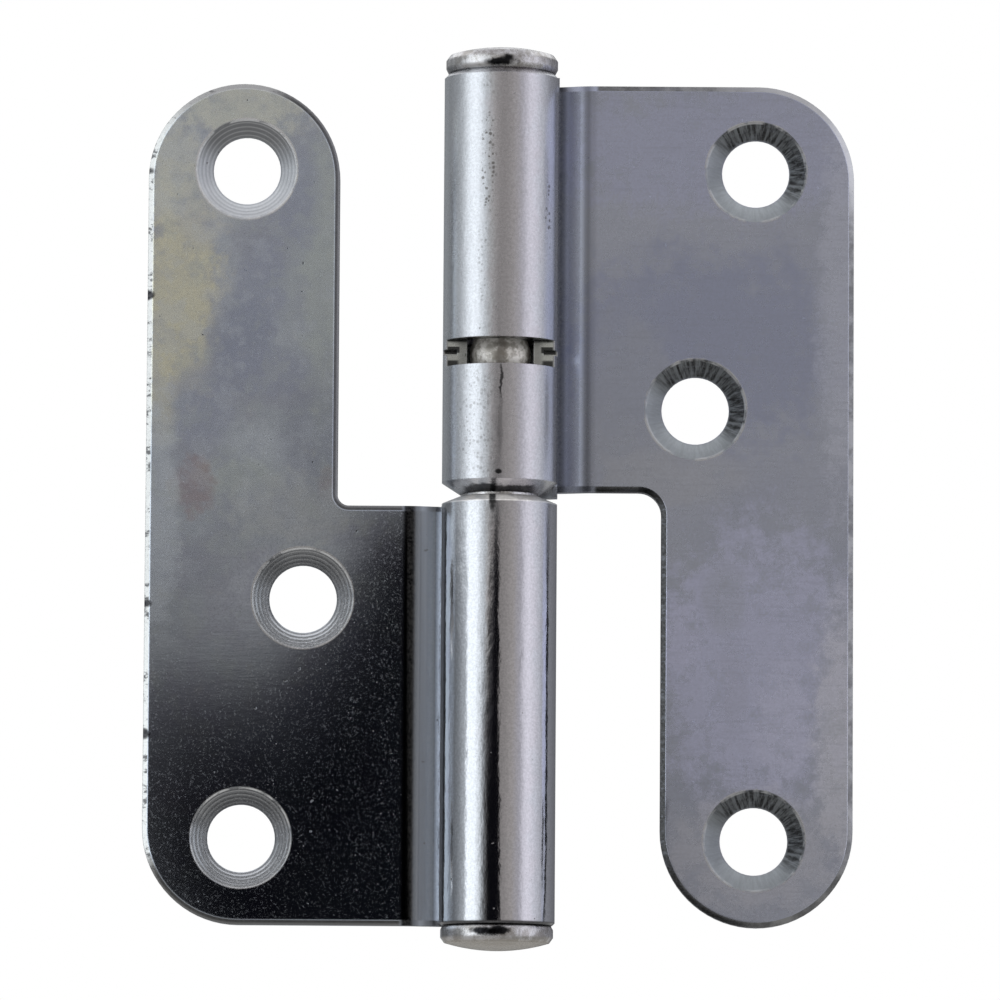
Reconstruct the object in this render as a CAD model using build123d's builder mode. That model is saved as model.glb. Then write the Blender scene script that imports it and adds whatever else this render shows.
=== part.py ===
from build123d import *
from math import asin, cos, degrees, radians, sin, tan
import os

os.makedirs("parts", exist_ok=True)

# Lift-off hinge, opened flat. Millimetres, pin axis along Z, leaf faces toward -Y.
# The frame leaf is on the -X side and the door leaf on the +X side.

# Leaf blank, the same outline for both leaves, turned end for end
leaf_height = 110.0
leaf_reach = 46.1  # from the pin axis to the outer edge
arm_width = 25.0  # full-round end, to suit a recess routed with a 25 mm cutter
corner_r = arm_width / 2
sheet_t = 2.5
edge_ease = 0.7  # front edge drawn over by the punch, measured on the face
edge_drop = 0.35  # and down the side

# Roll and crank of the sheet
bore_r = 5.0
roll_r = bore_r + sheet_t
roll_mid_r = bore_r + sheet_t / 2
crank_angle = 18.0
crank_x = 11.3  # where the leaf bends away from the barrel
crank_r = 4.0
seam_gap = 0.25  # between the free end of the roll and the leaf it closes on

# Knuckles and shoulders, measured up from the bottom edge of the leaves
shoulder_drop = 0.35  # of the frame leaf, below the middle
knuckle_stand = 1.0  # of the lower knuckle, above its shoulder
knuckle_gap = 0.3
shoulder_rise = 0.7  # of the door leaf, above its knuckle's end
knuckle_overhang = 1.2  # of the upper knuckle, above the leaves
frame_shoulder = leaf_height / 2 - shoulder_drop
frame_knuckle_top = frame_shoulder + knuckle_stand
door_knuckle_bottom = frame_knuckle_top + knuckle_gap
door_shoulder = door_knuckle_bottom + shoulder_rise
door_knuckle_top = leaf_height + knuckle_overhang
frame_inner_r = 1.5
door_inner_r = 3.0
face_chamfer = 2.3  # radial, on the two ends that face each other
shoulder_cut = 2.0  # how far that cut runs out into the frame leaf
frame_face_drop = 0.95
door_face_drop = 1.5
bottom_break = 0.3
top_break = 0.75

# Countersunk screw holes, measured from the axis and from the ends of the leaf
arm_centre_x = leaf_reach - corner_r
end_hole_offset = 0.3  # toward the axis from the middle of the arm
end_hole_x = arm_centre_x - end_hole_offset
end_hole_inset = 11.25
mid_hole_x = 25.5
mid_hole_drop = 12.5  # from the middle of the leaf, away from its round end
mid_hole_inset = leaf_height / 2 - mid_hole_drop
hole_r = 4.4
sink_r = 6.6
sink_angle = 90

# Window milled across the front of the upper knuckle, with a slit at each end
window_rise = 16.45  # above the end of the knuckle
window_bottom = door_knuckle_bottom + window_rise
window_height = 3.5
window_floor = 2.5  # how far in front of the axis the cut stops
slit_lift = 1.9  # above the window's sill
slit_rise = window_bottom + slit_lift
slit_depth = 1.45
slit_height = 0.7
slit_run = 1.6

# Thrust ball, which carries the plug on the pin
ball_r = 4.0
ball_lift = 1.75  # of its centre, above the window's sill
ball_rise = window_bottom + ball_lift
seat_angle = 120  # drilled, in the ends of the pin and the plug
seat_rim_r = 3.2
seat_play = 0.01
seat_depth = seat_rim_r / tan(radians(seat_angle / 2))
seat_apex = (ball_r + seat_play) / sin(radians(seat_angle / 2))  # from the ball's centre

# Pin and plug, each with a button head
running_gap = 0.05
pin_run_r = bore_r - running_gap
pin_run_start = 2.4  # below the top of the lower knuckle
pin_run_rise = frame_knuckle_top - pin_run_start
nose_chamfer = 1.0
plug_lead = 0.6
head_inset = 0.2  # the button lies this far inside the barrel
head_r = roll_r - head_inset
head_side = 2.3
head_dome = 1.0
rim_break = 0.5  # rounded over toward the dome
rim_break_height = 0.7
seat_break = 0.3  # and drawn in toward the barrel
seat_break_height = 0.6
rim_r = head_r - rim_break
dome_r = (rim_r**2 + head_dome**2) / (2 * head_dome)

# The shared frame has its origin on the axis, half way between the two buttons
base_z = -door_knuckle_top / 2

# Where the leaf lies: the cranked strip is tangent to the roll at the back
crank = radians(crank_angle)
tangent_x = roll_mid_r * sin(crank)
tangent_y = roll_mid_r * cos(crank)
leaf_y = tangent_y - (crank_x - tangent_x) * tan(crank)
front_y = leaf_y - sheet_t / 2
crank_setback = crank_r * tan(crank / 2)
root_x = roll_r + 0.05
strip_x = crank_x - crank_setback * cos(crank)
strip_y = leaf_y + crank_setback * sin(crank)

# How far the sheet wraps round the pin before its free end meets the leaf
free_end_angle = degrees(asin((bore_r - seam_gap) / roll_r)) - crank_angle
roll_arc = 360 + free_end_angle - (90 - crank_angle)


def bent_strip(side, bottom, height):
    """Sheet bent as seen from above: leaf on the given side, rolled round the axis."""
    with BuildPart() as strip:
        with BuildSketch(Plane.XY.offset(bottom)):
            with BuildLine():
                Line((side * (leaf_reach + 1), leaf_y), (side * (crank_x + crank_setback), leaf_y))
                JernArc(
                    (side * (crank_x + crank_setback), leaf_y),
                    (-side, 0),
                    crank_r,
                    -side * crank_angle,
                )
                Line((side * strip_x, strip_y), (side * tangent_x, tangent_y))
                JernArc(
                    (side * tangent_x, tangent_y),
                    (-side * cos(crank), sin(crank)),
                    roll_mid_r,
                    side * roll_arc,
                )
            trace(line_width=sheet_t)
        extrude(amount=height)
    return strip.part


def leaf_outline(face, knuckle_start, knuckle_end, shoulder, inner_r):
    """Outline seen from the front, x away from the axis, y toward the full-round end."""
    with BuildSketch(face) as outline:
        Polygon(
            (root_x, 0),
            (leaf_reach, 0),
            (leaf_reach, leaf_height - corner_r),
            (leaf_reach - arm_width, leaf_height - corner_r),
            (leaf_reach - arm_width, shoulder),
            (root_x, shoulder),
            align=None,
        )
        corners = outline.vertices()
        fillet(corners.sort_by_distance((leaf_reach, 0))[0], corner_r)
        corners = outline.vertices()
        fillet(corners.sort_by_distance((leaf_reach - arm_width, shoulder))[0], inner_r)
        with Locations((arm_centre_x, leaf_height - corner_r)):
            Circle(corner_r)
        with Locations((root_x, knuckle_start)):
            Rectangle(2 * roll_r + 1, knuckle_end - knuckle_start, align=(Align.MAX, Align.MIN))
    return outline.sketch


def turned_edge(face_z, into, width, drop, reach):
    """Section that a turning tool takes off the outer edge of a knuckle's end."""
    with BuildSketch(Plane.XZ) as section:
        Polygon(
            (roll_r - width, face_z),
            (roll_r, face_z + into * drop),
            (reach, face_z + into * drop),
            (reach, face_z - into),
            (roll_r - width, face_z - into),
            align=None,
        )
    return section.sketch


# The two blanks seen from the front, one with its round end up, the other with it down
view_y = -roll_r - 1
view_depth = -2 * view_y
frame_view = Plane(origin=(0, view_y, base_z), x_dir=(-1, 0, 0), z_dir=(0, 1, 0))
door_view = Plane(origin=(0, view_y, base_z + leaf_height), x_dir=(1, 0, 0), z_dir=(0, 1, 0))
sink_face = Plane.XZ.offset(-front_y)
window_edge_x = (roll_r**2 - window_floor**2) ** 0.5

# Levels of the turned pieces
frame_knuckle_z = base_z + frame_knuckle_top
door_knuckle_z = base_z + door_knuckle_bottom
plug_seat_z = base_z + door_knuckle_top
ball_z = base_z + ball_rise
pin_end_z = ball_z - seat_apex + seat_depth
plug_end_z = ball_z + seat_apex - seat_depth

# Frame leaf: flat leaf and lower knuckle in one piece of sheet
with BuildPart() as frame_leaf:
    add(bent_strip(-1, base_z, leaf_height))
    frame_blank = leaf_outline(frame_view, 0, frame_knuckle_top, frame_shoulder, frame_inner_r)
    extrude(frame_blank, amount=view_depth, dir=(0, 1, 0), mode=Mode.INTERSECT)
    frame_front = frame_leaf.faces().filter_by_position(Axis.Y, front_y - 0.01, front_y + 0.01)[0]
    frame_edges = frame_front.edges().filter_by(lambda edge: edge.center().X < -crank_x - 1)
    chamfer(frame_edges, edge_ease, edge_drop, reference=frame_front)
    with Locations(sink_face):
        with Locations(
            (-end_hole_x, base_z + end_hole_inset),
            (-end_hole_x, base_z + leaf_height - end_hole_inset),
            (-mid_hole_x, base_z + mid_hole_inset),
        ):
            CounterSinkHole(hole_r, sink_r, 2 * sheet_t, sink_angle)
    top_edge = turned_edge(frame_knuckle_z, -1, face_chamfer, frame_face_drop, roll_r + shoulder_cut)
    revolve(top_edge, axis=Axis.Z, mode=Mode.SUBTRACT)
    bottom_edge = turned_edge(base_z, 1, bottom_break, bottom_break, roll_r + 0.02)
    revolve(bottom_edge, axis=Axis.Z, mode=Mode.SUBTRACT)
frame_leaf.part.label = "frame_leaf"

# Door leaf: the same blank turned end for end, with the upper knuckle and its window
with BuildPart() as door_leaf:
    add(bent_strip(1, base_z, door_knuckle_top))
    door_blank = leaf_outline(
        door_view,
        leaf_height - door_knuckle_top,
        leaf_height - door_knuckle_bottom,
        leaf_height - door_shoulder,
        door_inner_r,
    )
    extrude(door_blank, amount=view_depth, dir=(0, 1, 0), mode=Mode.INTERSECT)
    door_front = door_leaf.faces().filter_by_position(Axis.Y, front_y - 0.01, front_y + 0.01)[0]
    door_edges = door_front.edges().filter_by(lambda edge: edge.center().X > crank_x + 1)
    chamfer(door_edges, edge_ease, edge_drop, reference=door_front)
    with Locations(sink_face):
        with Locations(
            (end_hole_x, base_z + end_hole_inset),
            (end_hole_x, base_z + leaf_height - end_hole_inset),
            (mid_hole_x, base_z + leaf_height - mid_hole_inset),
        ):
            CounterSinkHole(hole_r, sink_r, 2 * sheet_t, sink_angle)
    lower_edge = turned_edge(door_knuckle_z, 1, face_chamfer, door_face_drop, roll_r + 0.02)
    revolve(lower_edge, axis=Axis.Z, mode=Mode.SUBTRACT)
    upper_edge = turned_edge(plug_seat_z, -1, top_break, top_break, roll_r + 0.02)
    revolve(upper_edge, axis=Axis.Z, mode=Mode.SUBTRACT)
    with Locations((0, -window_floor, base_z + window_bottom)):
        Box(
            2 * roll_r + 2,
            roll_r,
            window_height,
            align=(Align.CENTER, Align.MAX, Align.MIN),
            mode=Mode.SUBTRACT,
        )
    with Locations((-window_edge_x + slit_depth, -window_floor, base_z + slit_rise)):
        Box(
            roll_r,
            slit_run,
            slit_height,
            align=(Align.MAX, Align.MIN, Align.CENTER),
            mode=Mode.SUBTRACT,
        )
    with Locations((window_edge_x - slit_depth, -window_floor, base_z + slit_rise)):
        Box(
            roll_r,
            slit_run,
            slit_height,
            align=(Align.MIN, Align.MIN, Align.CENTER),
            mode=Mode.SUBTRACT,
        )
door_leaf.part.label = "door_leaf"

# Hinge pin: button head, pressed shank, thinner running shank and a seat for the ball
with BuildPart() as hinge_pin:
    with BuildSketch(Plane.XZ):
        with BuildLine():
            Line((0, ball_z - seat_apex), (0, base_z - head_side - head_dome))
            RadiusArc(
                (0, base_z - head_side - head_dome),
                (rim_r, base_z - head_side),
                -dome_r,
            )
            Polyline(
                (rim_r, base_z - head_side),
                (head_r, base_z - head_side + rim_break_height),
                (head_r, base_z - seat_break_height),
                (head_r - seat_break, base_z),
                (bore_r, base_z),
                (bore_r, base_z + pin_run_rise - running_gap),
                (pin_run_r, base_z + pin_run_rise),
                (pin_run_r, pin_end_z - nose_chamfer),
                (pin_run_r - nose_chamfer, pin_end_z),
                (seat_rim_r, pin_end_z),
                (0, ball_z - seat_apex),
            )
        make_face()
    revolve(axis=Axis.Z)
hinge_pin.part.label = "hinge_pin"

# Thrust ball: a loose bearing ball that stays in the pin's seat
with BuildPart() as thrust_ball:
    with Locations((0, 0, ball_z)):
        Sphere(ball_r)
thrust_ball.part.label = "thrust_ball"

# Top plug: the same button head on a shank pressed into the upper knuckle
with BuildPart() as top_plug:
    with BuildSketch(Plane.XZ):
        with BuildLine():
            Line((0, ball_z + seat_apex), (0, plug_seat_z + head_side + head_dome))
            RadiusArc(
                (0, plug_seat_z + head_side + head_dome),
                (rim_r, plug_seat_z + head_side),
                dome_r,
            )
            Polyline(
                (rim_r, plug_seat_z + head_side),
                (head_r, plug_seat_z + head_side - rim_break_height),
                (head_r, plug_seat_z + seat_break_height),
                (head_r - seat_break, plug_seat_z),
                (bore_r, plug_seat_z),
                (bore_r, plug_end_z + plug_lead),
                (bore_r - plug_lead, plug_end_z),
                (seat_rim_r, plug_end_z),
                (0, ball_z + seat_apex),
            )
        make_face()
    revolve(axis=Axis.Z)
top_plug.part.label = "top_plug"

export_step(frame_leaf.part, "parts/frame_leaf.step")
export_step(door_leaf.part, "parts/door_leaf.step")
export_step(hinge_pin.part, "parts/hinge_pin.step")
export_step(thrust_ball.part, "parts/thrust_ball.step")
export_step(top_plug.part, "parts/top_plug.step")
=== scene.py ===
from math import cos, pi, radians, sin

import bmesh
import bpy
from mathutils import Matrix, Vector


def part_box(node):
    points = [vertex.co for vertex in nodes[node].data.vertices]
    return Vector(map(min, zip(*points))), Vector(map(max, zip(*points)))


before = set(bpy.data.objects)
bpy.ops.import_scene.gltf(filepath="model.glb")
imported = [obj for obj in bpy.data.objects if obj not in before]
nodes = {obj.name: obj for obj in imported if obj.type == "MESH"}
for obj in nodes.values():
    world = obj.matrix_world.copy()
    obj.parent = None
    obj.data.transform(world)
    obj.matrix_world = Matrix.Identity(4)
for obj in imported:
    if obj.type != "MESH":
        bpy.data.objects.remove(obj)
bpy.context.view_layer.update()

# Frame leaf: 2.5 mm steel sheet, blanked, cranked and rolled into the lower knuckle, then
# bright zinc plated. The film is stained olive and violet on the long arm, and the face
# is nearly a mirror beside the knuckle. The outer edge is nicked and rubbed bright.
# Sizes are in millimetres.
frame_low, frame_high = (corner * 1000 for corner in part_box("frame_leaf"))
leaf_reach = -frame_low.x
leaf_half = (frame_high.z - frame_low.z) / 2
leaf_mid_z = (frame_high.z + frame_low.z) / 2
barrel_r = frame_high.x
sheet_t = 2.5
leaf_front = 1.65
leaf_back = leaf_front + sheet_t
flat_x = 12.8  # the leaves are flat from here to their outer edges
arm_r = 12.5
arm_centre_x = leaf_reach - arm_r
sink_r = 6.6
end_hole_x = arm_centre_x - 0.3
end_hole_up = leaf_half - 11.25
mid_hole_x = 25.5
mid_hole_drop = 12.5  # from the middle of the leaf
frame_knuckle_top = leaf_mid_z + 0.65
frame_knuckle_low = frame_low.z


class Wire:
    """One socket of a material's node tree. Sums written on it add the Math nodes."""

    def __init__(self, tree, socket):
        self.tree = tree
        self.socket = socket

    def node(self, kind, settings, inputs, output=0):
        made = self.tree.nodes.new(kind)
        for name, value in settings.items():
            if name == "stops":
                stops = made.color_ramp.elements
                stops.remove(stops[1])
                stops[0].position, stops[0].color = value[0]
                for place, colour in value[1:]:
                    stops.new(place).color = colour
            else:
                setattr(made, name, value)
        for name, value in inputs.items():
            socket = made.inputs[name]
            if isinstance(value, Wire):
                self.tree.links.new(value.socket, socket)
            else:
                socket.default_value = value
        return Wire(self.tree, made.outputs[output])

    def maths(self, operation, *values):
        return self.node("ShaderNodeMath", {"operation": operation}, dict(enumerate(values)))

    def __add__(self, other):
        return self.maths("ADD", self, other)

    def __radd__(self, other):
        return self.maths("ADD", other, self)

    def __sub__(self, other):
        return self.maths("SUBTRACT", self, other)

    def __rsub__(self, other):
        return self.maths("SUBTRACT", other, self)

    def __mul__(self, other):
        return self.maths("MULTIPLY", self, other)

    def __rmul__(self, other):
        return self.maths("MULTIPLY", other, self)

    def __truediv__(self, other):
        return self.maths("DIVIDE", self, other)

    def __pow__(self, other):
        return self.maths("POWER", self, other)

    def __abs__(self):
        return self.maths("ABSOLUTE", self)

    def rise(self, low, high):
        """0 below low, 1 above high, smooth between; low may be the larger one."""
        values = {"Value": self, "From Min": low, "From Max": high}
        return self.node("ShaderNodeMapRange", {"interpolation_type": "SMOOTHSTEP"}, values)

    def tint(self, under, over):
        """Colour under where this mask is 0, colour over where it is 1."""
        values = {0: self, 6: under, 7: over}
        return self.node("ShaderNodeMix", {"data_type": "RGBA"}, values, 2)

    def times(self, other):
        """Colour times colour."""
        values = {0: 1.0, 6: self, 7: other}
        return self.node("ShaderNodeMix", {"data_type": "RGBA", "blend_type": "MULTIPLY"}, values, 2)

    def axes(self):
        whole = self.node("ShaderNodeSeparateXYZ", {}, {0: self})
        return [Wire(self.tree, socket) for socket in whole.socket.node.outputs]


def new_material(name):
    material = bpy.data.materials.new(name)
    material.use_nodes = True
    material.node_tree.nodes.clear()
    tree = material.node_tree
    output = tree.nodes.new("ShaderNodeOutputMaterial")
    place = tree.nodes.new("ShaderNodeTexCoord")
    return material, Wire(tree, output.inputs["Surface"]), Wire(tree, place.outputs["Object"])


def millimetres(place):
    return place.node("ShaderNodeVectorMath", {"operation": "SCALE"}, {0: place, "Scale": 1000})


def noise(place, per_mm, detail=3.0, rough=0.55, stretch=(1, 1, 1)):
    wide = place.node("ShaderNodeVectorMath", {"operation": "MULTIPLY"}, {0: place, 1: stretch})
    values = {"Vector": wide, "Scale": per_mm, "Detail": detail, "Roughness": rough}
    return place.node("ShaderNodeTexNoise", {}, values)


def spots(place, per_mm, size, share):
    """Small ragged marks: one in each cell, of mixed size, in only a share of the cells."""
    swirls = {"Vector": place, "Scale": per_mm * 3, "Detail": 1.0}
    swirl = place.node("ShaderNodeTexNoise", {}, swirls, 1)
    bend = {0: swirl, 1: (0.4 / per_mm,) * 3, 2: place}
    bent = place.node("ShaderNodeVectorMath", {"operation": "MULTIPLY_ADD"}, bend)
    values = {"Vector": bent, "Scale": per_mm}
    cell = place.node("ShaderNodeTexVoronoi", {}, values)
    chance = place.node("ShaderNodeTexVoronoi", {}, values, 1)
    luck = place.node("ShaderNodeSeparateColor", {}, {0: chance})
    big = luck.rise(1 - share, 1)
    return (cell / (big * size + 0.0001)).rise(1, 0.5)


def patch(x, z, at_x, at_z, half_x, half_z, ragged):
    """Soft patch on a face, used for stains and for painted shade and reflections, 1 in its middle; ragged is
    a noise that bends its outline.
    """
    away = ((x - at_x) / half_x) ** 2 + ((z - at_z) / half_z) ** 2
    return (away + (ragged - 0.5) * 2.8).rise(1.3, 0.25)


def sink_frame(x, z, end_x, end_z, mid_x, mid_z, leaf_mid_z):
    """Across, up and distance from the centre of the nearest screw hole, in millimetres."""
    end_dx = x - end_x
    above = z - leaf_mid_z
    end_dz = above - above.maths("SIGN", above) * end_z
    mid_dx = x - mid_x
    mid_dz = z - mid_z
    near_mid = x.maths("LESS_THAN", mid_dx**2 + mid_dz**2, 144)
    dx = end_dx + (mid_dx - end_dx) * near_mid
    dz = end_dz + (mid_dz - end_dz) * near_mid
    return dx, dz, (dx**2 + dz**2) ** 0.5


def countersink(from_hole, y, front):
    """Masks of the screw holes' cone walls and of the thin lip round each, where a highlight is painted."""
    wall = from_hole.rise(sink_r + 0.15, sink_r - 0.1) * front
    lit_lip = from_hole.rise(sink_r - 0.3, sink_r - 0.18) * from_hole.rise(sink_r + 0.25, sink_r + 0.1)
    return wall, lit_lip * y.rise(leaf_front + 0.55, leaf_front + 0.25)


def grey(level):
    return (level, level, level, 1)


def finish_metal(surface, colour, rough, height, ease, metallic=1.0):
    """Metal under a film. The height is in millimetres and ease softens the sharp edges."""
    eased = colour.node("ShaderNodeBevel", {"samples": 2}, {"Radius": ease})
    relief = {"Strength": 1.0, "Distance": 0.001, "Height": height, "Normal": eased}
    normal = colour.node("ShaderNodeBump", {}, relief)
    shine = {"Base Color": colour, "Metallic": metallic, "Roughness": rough, "Normal": normal}
    shader = colour.node("ShaderNodeBsdfPrincipled", {}, shine)
    shader.tree.links.new(shader.socket, surface.socket)


def paint(node, material):
    nodes[node].data.materials.clear()
    nodes[node].data.materials.append(material)


pit_colour = (0.06, 0.055, 0.05, 1)
# Near black: real nicks and specks, and also painted shade and painted dark reflections.
soot_and_shade = (0.02, 0.02, 0.022, 1)
olive = (0.84, 0.82, 0.64, 1)
pale_olive = (0.83, 0.85, 0.77, 1)
green_grey = (0.62, 0.68, 0.67, 1)
pale_blue = (0.70, 0.76, 0.83, 1)
violet = (0.46, 0.50, 0.62, 1)
deep_violet = (0.41, 0.45, 0.57, 1)
dull_violet = (0.36, 0.39, 0.49, 1)
rust_pink = (0.47, 0.38, 0.40, 1)
# Each stain: across and up in millimetres, half its width and height, its strength, its colour.
frame_stains = (
    (-42.3, 26.5, 6.6, 15.5, 0.95, olive),
    (-44.2, 13.5, 2.4, 7.5, 0.85, olive),
    (-33.3, 51.6, 11.0, 4.2, 0.85, pale_olive),
    (-42.6, 42.6, 4.8, 7.0, 0.75, pale_olive),
    (-39.0, 37.0, 3.8, 4.6, 0.60, (0.70, 0.72, 0.72, 1)),
    (-23.0, 28.0, 3.4, 20.0, 0.70, green_grey),
    (-27.0, 39.0, 3.6, 7.5, 0.75, violet),
    (-31.0, 28.0, 3.6, 7.5, 0.80, violet),
    (-34.0, 20.0, 4.8, 7.0, 0.85, deep_violet),
    (-29.5, 16.5, 6.0, 3.6, 0.65, violet),
    (-39.0, 12.0, 4.6, 6.0, 0.70, violet),
    (-32.0, 6.5, 5.0, 3.0, 0.45, pale_blue),
    (-33.5, 2.6, 6.4, 3.2, 0.75, green_grey),
    (-24.6, 8.0, 4.6, 8.0, 0.40, dull_violet),
    (-40.0, 1.6, 3.0, 4.2, 0.70, rust_pink),
    (-22.4, 1.6, 1.6, 2.4, 0.55, rust_pink),
    (-44.4, -3.0, 3.0, 18.0, 0.80, pale_blue),
    (-27.5, -1.5, 9.0, 5.0, 0.75, (0.64, 0.68, 0.71, 1)),
)

leaf_metal, surface, place = new_material("frame_leaf_zinc")
mm = millimetres(place)
x, y, z = mm.axes()
radius = (x**2 + y**2) ** 0.5
knuckle = radius.rise(barrel_r + 1.1, barrel_r + 0.4)
flat = x.rise(-flat_x + 0.6, -flat_x)
front = y.rise(leaf_back - 0.15, leaf_back - 0.55)
clouds = noise(mm, 0.12)
wisps = noise(mm, 0.45, 5.0, 0.65)
grain = noise(mm, 3.2, 3.0, 0.75)
streaks = noise(mm, 2.6, 3.0, 0.6, (0.12, 1, 1))

mottle = (clouds + (wisps - 0.5) * 0.4).rise(0.38, 0.62)
colour = mottle.tint((0.49, 0.52, 0.60, 1), (0.56, 0.61, 0.67, 1))
for at_x, at_z, half_x, half_z, share, stain in frame_stains:
    colour = (patch(x, z, at_x, at_z, half_x, half_z, wisps) * share).tint(colour, stain)
blooms = noise(mm, 0.28, 4.0, 0.6)
colour = (blooms.rise(0.50, 0.62) * 0.30).tint(colour, pale_blue)
colour = (blooms.rise(0.48, 0.36) * 0.30).tint(colour, green_grey)
colour = (wisps.rise(0.42, 0.66) * 0.20).tint(colour, dull_violet)
colour = (wisps.rise(0.44, 0.30) * 0.20).tint(colour, (0.68, 0.70, 0.66, 1))

# The cranked strip's light and dark bands, from the leaf to the barrel, are a painted reflection of the room.
strip_reflection_stops = [
    (0.00, grey(0.35)),
    (0.05, grey(0.10)),
    (0.10, grey(0.012)),
    (0.25, grey(0.008)),
    (0.29, grey(0.035)),
    (0.33, grey(0.09)),
    (0.36, grey(0.16)),
    (0.42, grey(0.235)),
    (0.47, grey(0.30)),
    (0.52, grey(0.41)),
    (0.60, grey(0.37)),
    (0.66, grey(0.27)),
    (0.75, grey(0.21)),
    (0.82, grey(0.155)),
    (0.87, grey(0.127)),
    (0.92, grey(0.25)),
    (0.96, grey(0.40)),
    (1.00, grey(0.52)),
]
strip_edge = flat_x - 0.2
across = (x + strip_edge) / 5
strip_painted_reflection = across.node("ShaderNodeValToRGB", {"stops": strip_reflection_stops}, {"Fac": across})
in_strip = (1 - flat) * x.rise(-barrel_r, -barrel_r - 0.1) * front
bluish = in_strip.tint(colour, (0.80, 0.87, 1.0, 1))
colour = in_strip.tint(colour, bluish.times(strip_painted_reflection))
dull_band = in_strip * across.rise(0.28, 0.36) * across.rise(0.90, 0.84)
warm = (x.rise(-2.6, 0.4) * x.rise(6.2, 3.4) + (blooms - 0.5) * 2).rise(0.1, 0.9)
film = warm.tint((0.60, 0.61, 0.63, 1), (0.62, 0.60, 0.62, 1))
colour = (knuckle * x.rise(-barrel_r - 0.05, -barrel_r + 0.05)).tint(colour, film)
# The knuckle's left flank is darkened: a painted dark reflection.
painted_dark_flank = knuckle * x.rise(-6.0, -6.5) * y.rise(-1.2, -1.8)
colour = (painted_dark_flank * 0.6).tint(colour, (0.20, 0.21, 0.23, 1))
# The knuckle's top edge is painted near white in two soft blobs: a painted highlight.
top_edge_highlight = knuckle * z.rise(frame_knuckle_top - 1.2, frame_knuckle_top - 1.0)
colour = (top_edge_highlight * abs(x).rise(5.4, 3.4) * wisps.rise(0.62, 0.44)).tint(colour, (0.92, 0.90, 0.88, 1))
# A short black line at the top of the knuckle's front is a painted reflection; the black band at its bottom
# end, against the pin's head, is painted shade.
dark_line_reflection = patch(x, z, -0.9, -0.9, 0.5, 1.6, wisps) * y.rise(0, -1)
low_edge_shade = knuckle * z.rise(frame_knuckle_low + 0.5, frame_knuckle_low + 0.25)
colour = x.maths("MAXIMUM", dark_line_reflection, low_edge_shade * 0.85).tint(colour, soot_and_shade)

frame_mid_hole = (-mid_hole_x, leaf_mid_z - mid_hole_drop)
_, dz, from_hole = sink_frame(x, z, -end_hole_x, end_hole_up, *frame_mid_hole, leaf_mid_z)
sunk, sink_lip_highlight = countersink(from_hole, y, front)
ring = from_hole.maths("SINE", from_hole * 13.0)
colour = sunk.tint(colour, (0.66, 0.68, 0.71, 1))
# The holes' upper walls are painted darker: painted shade.
colour = (sunk * dz.rise(-0.5, 4.5) * 0.75).tint(colour, grey(0.12))
colour = (sunk * ring.rise(0.2, 0.9) * 0.24).tint(colour, grey(0.24))
colour = (sunk * ring.rise(-0.4, -0.95) * 0.3).tint(colour, grey(0.90))
# A painted highlight along each hole's lip.
colour = (sink_lip_highlight * wisps.rise(0.36, 0.52)).tint(colour, grey(0.80))

rim = y.rise(leaf_front + 0.01, leaf_front + 0.07) * front * flat * (1 - sunk)
outer = x.maths("MAXIMUM", x.rise(-36, -40), z.rise(48, 52) * x.rise(-27, -31)) * z.rise(-50, -46)
line = y.rise(leaf_front + 0.3, leaf_front + 0.15)
# The edge faces away from the outer edge are painted dark grey to black: painted shade.
shaded_rim = line.tint(grey(0.26), grey(0.09))
nicks = noise(mm, 0.8, 4.0, 0.7, (0.3, 1, 1))
worn_rim = nicks.rise(0.53, 0.63).tint((0.56, 0.56, 0.54, 1), grey(0.11))
colour = rim.tint(colour, outer.tint(shaded_rim, worn_rim))
for nick_z, nick_half in ((42.8, 0.5), (26.5, 0.7), (-13.9, 0.6), (-31.0, 0.8)):
    nick = patch(x, z, -46.0, nick_z, 0.9, nick_half, wisps) * front
    colour = nick.tint(colour, soot_and_shade)

pits = spots(mm, 0.55, 0.12, 0.45)
fine_pits = spots(mm, 1.5, 0.13, 0.55)
colour = (pits * 0.85).tint(colour, pit_colour)
colour = (fine_pits * 0.45).tint(colour, pit_colour)
colour = (grain.rise(0.35, 0.65) * (0.18 + knuckle * 0.14)).tint(colour, grey(0.30))

polished = (((x + 14) / 36) ** 2 + ((z + 34) / 34) ** 2).rise(1.3, 0.5)
sparkle = spots(mm, 3.0, 0.22, 0.6)
rough = 0.25 - polished * 0.17 + wisps * 0.03 + (sparkle * 0.16 + grain.rise(0.50, 0.70) * 0.12) * flat
rough = rough + pits * 0.3 + sunk * 0.08
waves = noise(mm, 0.8, 3.0, 0.55, (1, 1, 0.45))
turned_rings = ring * 0.004 * sunk
height = grain * 0.003 + streaks * 0.003 + waves * 0.035 * knuckle + turned_rings
height = height - pits * 0.02
metallic = 1 - top_edge_highlight * 0.6 - dull_band * 0.6 - sunk * 0.12 - grain.rise(0.54, 0.70) * flat * 0.065
finish_metal(surface, colour, rough, height, 0.00018, metallic)
paint("frame_leaf", leaf_metal)

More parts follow.
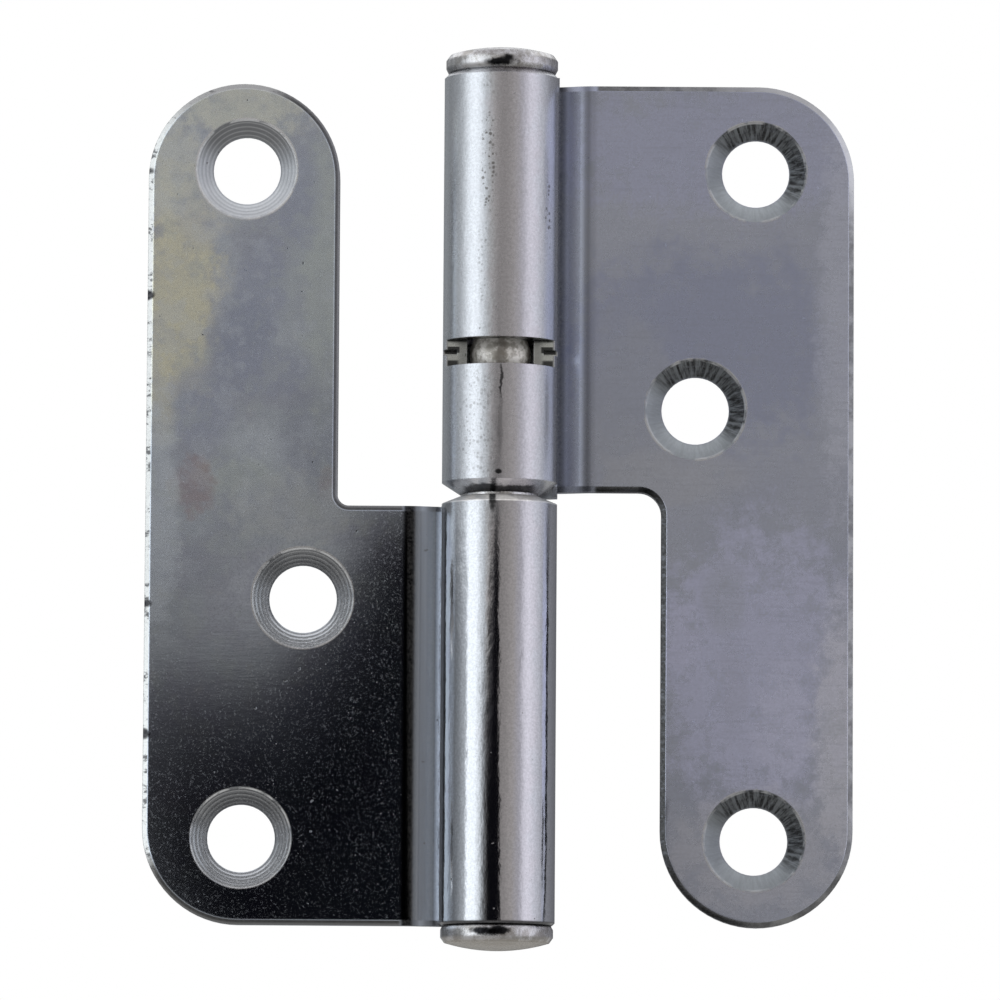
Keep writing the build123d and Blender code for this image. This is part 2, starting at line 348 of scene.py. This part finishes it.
# Door leaf: the same sheet and plating, turned end for end and evenly blue grey; its stains
# also paint a reflection that grows lighter toward the bottom. The upper knuckle has a milled
# window, with painted shade along its sill, lintel, corners and slits, that shows the ball.
door_stains_and_painted_light = (
    (30.0, 46.0, 26.0, 9.0, 0.80, (0.59, 0.62, 0.80, 1)),
    (27.0, 20.0, 20.0, 14.0, 0.85, (0.45, 0.485, 0.64, 1)),
    (17.0, 10.0, 6.0, 16.0, 0.60, (0.53, 0.56, 0.64, 1)),
    (22.0, 3.0, 10.0, 4.0, 0.55, (0.60, 0.62, 0.68, 1)),
    (44.8, 24.0, 3.8, 26.0, 0.60, (0.74, 0.77, 0.90, 1)),
    (34.0, -22.0, 15.0, 20.0, 0.90, (0.69, 0.715, 0.93, 1)),
    (29.5, -13.0, 3.0, 5.0, 0.55, (0.57, 0.60, 0.71, 1)),
    (24.0, -18.0, 2.4, 5.0, 0.60, (0.74, 0.76, 0.98, 1)),
    (30.5, -24.0, 2.0, 7.0, 0.45, (0.61, 0.63, 0.79, 1)),
    (37.0, -29.0, 4.0, 8.0, 0.60, (0.76, 0.78, 0.99, 1)),
    (44.4, -30.0, 4.0, 18.0, 0.60, (0.86, 0.87, 0.96, 1)),
    (33.0, -46.0, 12.0, 8.0, 0.60, (0.71, 0.72, 0.80, 1)),
)
door_mid_hole = (mid_hole_x, leaf_mid_z + mid_hole_drop)
door_knuckle_low = frame_knuckle_top + 0.3
window_low = door_knuckle_low + 16.45
window_top = window_low + 3.5
slit_low = window_low + 1.9
slit_top = slit_low + 0.7

door_metal, surface, place = new_material("door_leaf_zinc")
mm = millimetres(place)
x, y, z = mm.axes()
radius = (x**2 + y**2) ** 0.5
knuckle = radius.rise(barrel_r + 1.1, barrel_r + 0.4)
flat = x.rise(flat_x - 0.6, flat_x)
front = y.rise(leaf_back - 0.15, leaf_back - 0.55)
clouds = noise(mm, 0.07)
wisps = noise(mm, 0.4, 5.0, 0.65)
grain = noise(mm, 3.2, 3.0, 0.75)
streaks = noise(mm, 2.6, 3.0, 0.6, (0.08, 1, 1))
mottle = (clouds + (wisps - 0.5) * 0.3).rise(0.35, 0.65)
colour = mottle.tint((0.52, 0.55, 0.66, 1), (0.57, 0.60, 0.70, 1))
# The stains also paint a reflection that grows lighter toward the bottom of the leaf.
for at_x, at_z, half_x, half_z, share, stain in door_stains_and_painted_light:
    colour = (patch(x, z, at_x, at_z, half_x, half_z, wisps) * share).tint(colour, stain)
colour = (wisps.rise(0.45, 0.66) * 0.10).tint(colour, dull_violet)

# The cranked strip's light and dark bands are a painted reflection, multiplied into the film.
strip_reflection_stops = [
    (0.00, grey(0.22)),
    (0.08, grey(0.15)),
    (0.16, grey(0.28)),
    (0.24, grey(0.62)),
    (0.34, grey(0.80)),
    (0.48, grey(0.95)),
    (0.58, grey(0.80)),
    (0.66, grey(0.50)),
    (0.74, grey(0.48)),
    (0.84, grey(0.80)),
    (1.00, grey(1.0)),
]
strip_root = barrel_r - 0.1
across = (x - strip_root) / (flat_x - strip_root)
strip_painted_reflection = across.node("ShaderNodeValToRGB", {"stops": strip_reflection_stops}, {"Fac": across})
in_strip = (1 - flat) * x.rise(strip_root, barrel_r + 0.05) * front
colour = in_strip.tint(colour, colour.times(strip_painted_reflection))
warm = (x.rise(-2.6, 0.4) * x.rise(6.2, 3.4) + (wisps - 0.5) * 2).rise(0.1, 0.9)
film = warm.tint((0.60, 0.61, 0.63, 1), (0.62, 0.60, 0.62, 1))
colour = (knuckle * x.rise(barrel_r + 0.05, strip_root)).tint(colour, film)

dx, dz, from_hole = sink_frame(x, z, end_hole_x, end_hole_up, *door_mid_hole, leaf_mid_z)
sunk, sink_lip_highlight = countersink(from_hole, y, front)
ray = {0: dx / from_hole, 1: dz / from_hole, 2: from_hole * 0.04}
beam = x.node("ShaderNodeCombineXYZ", {}, ray)
chatter = noise(beam, 14.0, 3.0, 0.7)
colour = sunk.tint(colour, (0.48, 0.51, 0.53, 1))
# The holes' walls from the upper left round to the lower right carry painted shade, mixed with the real
# chatter marks.
shaded_wall = ((dx * 0.6 + dz * 0.8) / from_hole).rise(-0.35, 0.3)
scored_and_shaded = (0.14 + shaded_wall * 0.36) * chatter.rise(0.36, 0.64) + shaded_wall * 0.52
colour = (sunk * scored_and_shaded).tint(colour, grey(0.035))
# A painted highlight along each hole's lip.
colour = (sink_lip_highlight * wisps.rise(0.40, 0.56) * 0.8).tint(colour, grey(0.75))

rim = y.rise(leaf_front + 0.005, leaf_front + 0.025) * front * flat * (1 - sunk)
shaded_inner_edge = x.rise(24.5, 22.5) * z.rise(2.0, 1.2)
arm_end = frame_low.z + arm_r
arc = (((x - arm_centre_x) ** 2 + (z - arm_end) ** 2) ** 0.5).rise(arm_r - 1.0, arm_r - 0.3)
shaded_crescent = front * arc * (x * 0.7 + z).rise(-22.5, -27) * x.rise(36, 30)
# The edge faces are painted dark grey: painted shade. The rim's upper right corner carries a painted
# highlight, and the arm's inner edge and the crescent at its lower end carry painted shade, near black.
shaded_rim = wisps.rise(0.35, 0.65).tint(grey(0.16), grey(0.34))
colour = rim.tint(colour, shaded_rim)
colour = (rim * (x + z).rise(80, 90) * 0.7).tint(colour, grey(0.75))
colour = (rim * shaded_inner_edge).tint(colour, grey(0.035))
colour = shaded_crescent.tint(colour, grey(0.035))

pits = spots(mm, 0.5, 0.12, 0.35)
fine_pits = spots(mm, 1.5, 0.13, 0.45)
pitted = (0.25 + knuckle * 0.75) * (0.3 + x.rise(1.5, -1.0))
colour = (pits * pitted).tint(colour, pit_colour)
corroded = patch(x, z, -1.7, 44.5, 1.1, 9.0, wisps) + patch(x, z, -2.9, 8.5, 2.6, 9.0, wisps) * 0.45
corroded = corroded + patch(x, z, 6.1, 36.5, 0.5, 5.5, wisps) + patch(x, z, -2.4, 30.0, 0.8, 6.0, wisps) * 0.5
rash = spots(mm, 2.2, 0.65, 0.95) * corroded * y.rise(0, -1)
colour = (rash * 0.9).tint(colour, (0.16, 0.15, 0.14, 1))
colour = (fine_pits * 0.35).tint(colour, pit_colour)
colour = (grain.rise(0.35, 0.65) * (0.14 + knuckle * 0.18)).tint(colour, grey(0.30))
colour = (streaks.rise(0.5, 0.7) * 0.16 * flat).tint(colour, (0.36, 0.38, 0.44, 1))

sill = z.rise(window_low + 0.45, window_low + 0.15) * z.rise(window_low - 0.2, window_low - 0.02)
lintel = z.rise(window_top - 0.4, window_top - 0.05)
corners = abs(x).rise(5.2, 5.7) * z.rise(window_low + 1.0, window_low + 0.7)
in_slit = z.rise(slit_low - 0.08, slit_low - 0.04) * z.rise(slit_top + 0.06, slit_top + 0.02)
slits = abs(x).rise(5.2, 5.4) * in_slit
in_window = z.rise(window_low - 0.1, window_low) * z.rise(window_top + 0.15, window_top + 0.1)
milled = radius.rise(barrel_r - 0.12, barrel_r - 0.3) * in_window
colour = (milled * 0.5).tint(colour, (0.42, 0.44, 0.38, 1))
# The outer ends of the milled pads carry a painted highlight.
colour = (milled * abs(x).rise(4.9, 5.9) * 0.7).tint(colour, (0.85, 0.87, 0.82, 1))
# Painted shade, near black, along the window's sill, lintel, corners and slits.
window_shade = x.maths("MINIMUM", sill + lintel + corners + slits, 1.0)
colour = (milled * window_shade * 0.9).tint(colour, soot_and_shade)
# The thin dark line down the knuckle's middle, below the window, is a painted reflection.
upper_dark_reflection = patch(x, z, 0.2 + (wisps - 0.5) * 2.0, 14.6, 0.20, 2.6, grain) * y.rise(0, -1)
speck = patch(x, z, -0.1, 2.7, 0.50, 0.35, wisps) * y.rise(0, -1)
lower_dark_reflection = patch(x, z, 0.05 + (wisps - 0.5) * 1.2, 9.4, 0.34, 5.2, grain) * y.rise(0, -1)
# A dark ring at the knuckle's lower end, in the gap to the frame knuckle: painted shade.
ragged_z = z - door_knuckle_low + (wisps - 0.5) * 2.0
knuckle_end_shade = knuckle * ragged_z.rise(1.0, 0.6) * abs(x).rise(5.2, 4.0)
colour = (lower_dark_reflection * 0.3).tint(colour, soot_and_shade)
colour = (upper_dark_reflection * 0.85).tint(colour, soot_and_shade)
colour = (speck * 0.95).tint(colour, soot_and_shade)
colour = (knuckle_end_shade * 0.9).tint(colour, soot_and_shade)

rough = 0.23 + wisps * 0.08 + pits * 0.25 + sunk * 0.08
waves = noise(mm, 0.8, 3.0, 0.55, (1, 1, 0.45))
height = grain * 0.003 + streaks * 0.004 + waves * 0.035 * knuckle - chatter * 0.02 * sunk
height = height - pits * 0.02 * pitted
finish_metal(surface, colour, rough, height, 0.00014)
paint("door_leaf", door_metal)

# Hinge pin and top plug: turned steel buttons on their shanks, barrel plated with the leaves
# and a little brighter and dented all over from the drum. Their black spots are painted
# reflections, and the dark bands at their seats are painted shade.
button_metal, surface, place = new_material("turned_zinc")
mm = millimetres(place)
x, y, z = mm.axes()
dents = noise(mm, 0.6, 4.0, 0.62)
grain = noise(mm, 4.0, 2.0, 0.7)
colour = (dents + (grain - 0.5) * 0.3).rise(0.36, 0.62).tint((0.40, 0.38, 0.36, 1), (0.66, 0.65, 0.65, 1))
head_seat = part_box("door_leaf")[1].z * 1000  # above the middle, and as far below it
low_dome = z.rise(-head_seat - 1.8, -head_seat - 2.4)
colour = (low_dome * (0.5 + dents * 0.5)).tint(colour, (0.30, 0.27, 0.22, 1))
front = y.rise(-3, -5)
# Each painted dark reflection: across and up in millimetres, then half its width and height.
painted_dark_spots = (
    (-0.4, 56.25, 2.6, 0.50),
    (0.8, 56.7, 1.1, 0.60),
    (-1.2, -56.6, 2.4, 0.55),
    (0.4, -56.4, 1.4, 0.60),
)
for at_x, at_z, half_x, half_z in painted_dark_spots:
    painted_dark_spot = patch(x, z, at_x, at_z, half_x, half_z, dents) * front
    colour = painted_dark_spot.tint(colour, soot_and_shade)
# The bands where the heads meet the knuckles are painted shade.
top_seat_shade = z.rise(head_seat + 0.45, head_seat + 0.25) * z.rise(head_seat - 1.6, head_seat - 0.6)
low_seat_shade = z.rise(-head_seat - 0.4, -head_seat - 0.15) * z.rise(1.6 - head_seat, 0.6 - head_seat)
colour = (top_seat_shade * 0.2 + low_seat_shade * 0.95).tint(colour, soot_and_shade)
fine_pits = spots(mm, 1.4, 0.16, 0.5)
colour = (fine_pits * 0.6).tint(colour, pit_colour)
rough = 0.20 + dents * 0.14
height = dents * 0.14 + grain * 0.006
finish_metal(surface, colour, rough, height, 0.00045, 1 - low_dome * 0.5)
paint("hinge_pin", button_metal)
paint("top_plug", button_metal)

# Thrust ball: a ground bearing ball under a dull beige film of old grease.
ball_metal, surface, place = new_material("greased_ball")
mm = millimetres(place)
x = mm.axes()[0]
film = noise(mm, 1.1, 4.0, 0.65)
colour = film.rise(0.40, 0.60).tint((0.50, 0.47, 0.42, 1), (0.98, 0.95, 0.90, 1))
# The darker band down the ball's middle is a painted reflection.
middle = (abs(x - 0.1) + (film - 0.5) * 1.2).rise(0.9, 0.2)
colour = (middle * 0.75).tint(colour, (0.26, 0.23, 0.20, 1))
rough = 0.34 + film * 0.2
finish_metal(surface, colour, rough, film * 0.05, 0.0001, 0.45)
paint("thrust_ball", ball_metal)

# Floor: a plain pale sheet, well below the part and out of the main view.
floor_z = -0.2
floor_half = 6.0
floor_mesh = bpy.data.meshes.new("floor")
floor_mesh.from_pydata(
    [(a * floor_half, b * floor_half, floor_z) for a, b in ((-1, -1), (1, -1), (1, 1), (-1, 1))],
    [],
    [(0, 1, 2, 3)],
)
floor = bpy.data.objects.new("floor", floor_mesh)
bpy.context.collection.objects.link(floor)
floor_paint, surface, place = new_material("pale_floor")
matt = place.node("ShaderNodeBsdfDiffuse", {}, {"Color": (0.82, 0.82, 0.82, 1)})
matt.tree.links.new(matt.socket, surface.socket)
floor_mesh.materials.append(floor_paint)

# Light tent: a round studio wall that only the metal's reflections see. Looking along +Y it is
# a bright window on the left, a dim middle behind the camera and a paler screen on the right.
tent_r = 0.5
tent_low = -0.19
tent_high = 0.6
tent_sides = 96
left_tone = (0.93, 0.98, 1.03)
middle_tone = (1.02, 0.99, 0.97)
right_tone = (0.96, 0.97, 1.07)
# Each stop: degrees round the wall, where 0 is behind the camera, then brightness and tint.
tent_stops = [
    (-180, 0.20, left_tone),
    (-144, 0.40, left_tone),
    (-123, 0.33, left_tone),
    (-108, 0.42, left_tone),
    (-96, 0.46, left_tone),
    (-84, 0.76, left_tone),
    (-74, 1.25, left_tone),
    (-64, 1.80, left_tone),
    (-46, 1.75, left_tone),
    (-37, 1.20, left_tone),
    (-29, 0.80, left_tone),
    (-21, 0.60, middle_tone),
    (-13, 0.50, middle_tone),
    (-4, 0.38, middle_tone),
    (3, 0.33, middle_tone),
    (12, 0.37, middle_tone),
    (28, 0.48, middle_tone),
    (44, 0.58, right_tone),
    (53, 1.00, right_tone),
    (62, 1.15, right_tone),
    (72, 1.05, right_tone),
    (84, 0.85, right_tone),
    (95, 0.65, right_tone),
    (106, 0.42, right_tone),
    (120, 0.33, right_tone),
    (140, 0.25, right_tone),
    (180, 0.10, right_tone),
]


def round_wall(angle):
    """Where an angle in degrees round the wall lies along its ramp of light."""
    return angle / 360 + 0.5


tent_mesh = bpy.data.meshes.new("light_tent")
build = bmesh.new()
bmesh.ops.create_cone(
    build,
    cap_ends=True,
    segments=tent_sides,
    radius1=tent_r,
    radius2=tent_r,
    depth=tent_high - tent_low,
    matrix=Matrix.Translation((0, 0, (tent_high + tent_low) / 2)),
)
build.to_mesh(tent_mesh)
build.free()
tent = bpy.data.objects.new("light_tent", tent_mesh)
bpy.context.collection.objects.link(tent)
tent_light, surface, place = new_material("tent_light")
x, y, z = place.axes()
turn = x.maths("ARCTAN2", x, 0 - y) / (2 * pi) + 0.5
stops = [
    (round_wall(angle), (*(level * part / 2 for part in tone), 1))
    for angle, level, tone in tent_stops
]
wall = turn.node("ShaderNodeValToRGB", {"stops": stops}, {"Fac": turn})
is_ceiling = z.rise(0.32, 0.58)
is_floor = z.rise(-0.12, -0.185)
# Low down the wall is dimmer at the left, and a black gap beside the camera draws the dark line
# down the lower knuckle.
low_left = turn.rise(round_wall(-62.64), round_wall(-68.04))
low_left = z.rise(0.055, 0.025) * low_left * turn.rise(round_wall(-169.2), round_wall(-154.8))
light = (low_left * 0.58).tint(wall, (0.02, 0.025, 0.035, 1))
gap = turn.rise(round_wall(-7.6), round_wall(-9.0)) * turn.rise(round_wall(-23.0), round_wall(-17.0))
gap = z.rise(0.056, 0.022) * gap
light = gap.tint(light, (0.02, 0.02, 0.02, 1))
light = is_ceiling.tint(light, (0.31, 0.31, 0.33, 1))
behind = z.rise(0.2, 0.34) * y.rise(0.0, 0.2)
light = behind.tint(light, (0.62, 0.63, 0.65, 1))
light = is_floor.tint(light, (0.22, 0.22, 0.22, 1))
lamp = light.node("ShaderNodeEmission", {}, {"Color": light, "Strength": 2.0})
lamp.tree.links.new(lamp.socket, surface.socket)
tent_mesh.materials.append(tent_light)

# Dark card: what the polished side of the frame leaf and the knuckle mirror, left of the
# camera. Its upper edge slopes down to the left and is soft.
card_y = -0.13
card_left = -0.14
card_right = 0.02
card_low = -0.19
card_high = 0.08
card_mesh = bpy.data.meshes.new("dark_card")
card_mesh.from_pydata(
    [
        (card_left, card_y, card_low),
        (card_right, card_y, card_low),
        (card_right, card_y, card_high),
        (card_left, card_y, card_high),
    ],
    [],
    [(0, 1, 2, 3)],
)
card = bpy.data.objects.new("dark_card", card_mesh)
bpy.context.collection.objects.link(card)
card_paint, surface, place = new_material("dark_card")
mm = millimetres(place)
x, _, z = mm.axes()
uneven = noise(mm, 0.02, 2.0)
edge = x.maths("EXPONENT", (x + 13) / 9) * 50 - 13 + (uneven - 0.5) * 8
soft = 6 + x.rise(-12, -48) * 8
under = ((edge - z) / soft).rise(-1, 1)
inside = (x + z * 0.26).rise(2.5, -1.5) * x.rise(-100, -40)
deep = (edge - z).rise(0, 26)
tone = deep.tint((0.045, 0.044, 0.05, 1), (0.004, 0.004, 0.006, 1))
black = place.node("ShaderNodeEmission", {}, {"Color": tone, "Strength": 1.0})
clear = place.node("ShaderNodeBsdfTransparent", {}, {})
held = place.node("ShaderNodeMixShader", {}, {0: under * inside, 1: clear, 2: black})
held.tree.links.new(held.socket, surface.socket)
card_mesh.materials.append(card_paint)
for screen in (tent, card):
    screen.visible_camera = False
    screen.visible_diffuse = False
    screen.visible_shadow = False
    screen.visible_transmission = False

# Lamps: one wide soft lamp above left and a weaker one at the right, at a plain level.
lamps = (
    ("key_lamp", (-0.9, -1.1, 1.3), 0.9, 22),
    ("fill_lamp", (1.1, -0.8, 0.7), 0.9, 8),
)
for name, spot, wide, watts in lamps:
    data = bpy.data.lights.new(name, "AREA")
    data.size = wide
    data.energy = watts
    lamp_object = bpy.data.objects.new(name, data)
    lamp_object.location = spot
    lamp_object.rotation_euler = (-Vector(spot)).to_track_quat("-Z", "Y").to_euler()
    lamp_object.visible_glossy = False
    bpy.context.collection.objects.link(lamp_object)

# World: white to the camera, in reflections and through glass, soft grey as light.
world = bpy.data.worlds.new("studio")
bpy.context.scene.world = world
world.use_nodes = True
world.node_tree.nodes.clear()
sky_out = world.node_tree.nodes.new("ShaderNodeOutputWorld")
rays = world.node_tree.nodes.new("ShaderNodeLightPath")
seen = Wire(world.node_tree, rays.outputs["Is Camera Ray"])
shiny = Wire(world.node_tree, rays.outputs["Is Glossy Ray"])
through = Wire(world.node_tree, rays.outputs["Is Transmission Ray"])
white = seen.maths("MAXIMUM", seen.maths("MAXIMUM", seen, shiny), through)
sky = white.node("ShaderNodeBackground", {}, {"Color": (1, 1, 1, 1), "Strength": 0.5 + white * 0.5})
sky.tree.links.new(sky.socket, sky_out.inputs["Surface"])

# Camera: square on to the leaves, a little below the part and looking up at it.
camera_away = 1.0354
camera_rise = radians(-5.575)
camera_roll = radians(0.374)
aim = Vector((0.00008, 0, -0.0003))
camera_data = bpy.data.cameras.new("camera")
camera_data.sensor_width = 36
camera_data.lens = 286.7
camera = bpy.data.objects.new("camera", camera_data)
camera.location = aim + camera_away * Vector((0, -cos(camera_rise), sin(camera_rise)))
facing = (aim - camera.location).to_track_quat("-Z", "Y").to_matrix().to_4x4()
camera.matrix_world = Matrix.Translation(camera.location) @ facing @ Matrix.Rotation(camera_roll, 4, "Z")
bpy.context.collection.objects.link(camera)
bpy.context.scene.camera = camera
bpy.context.scene.view_settings.view_transform = "Standard"
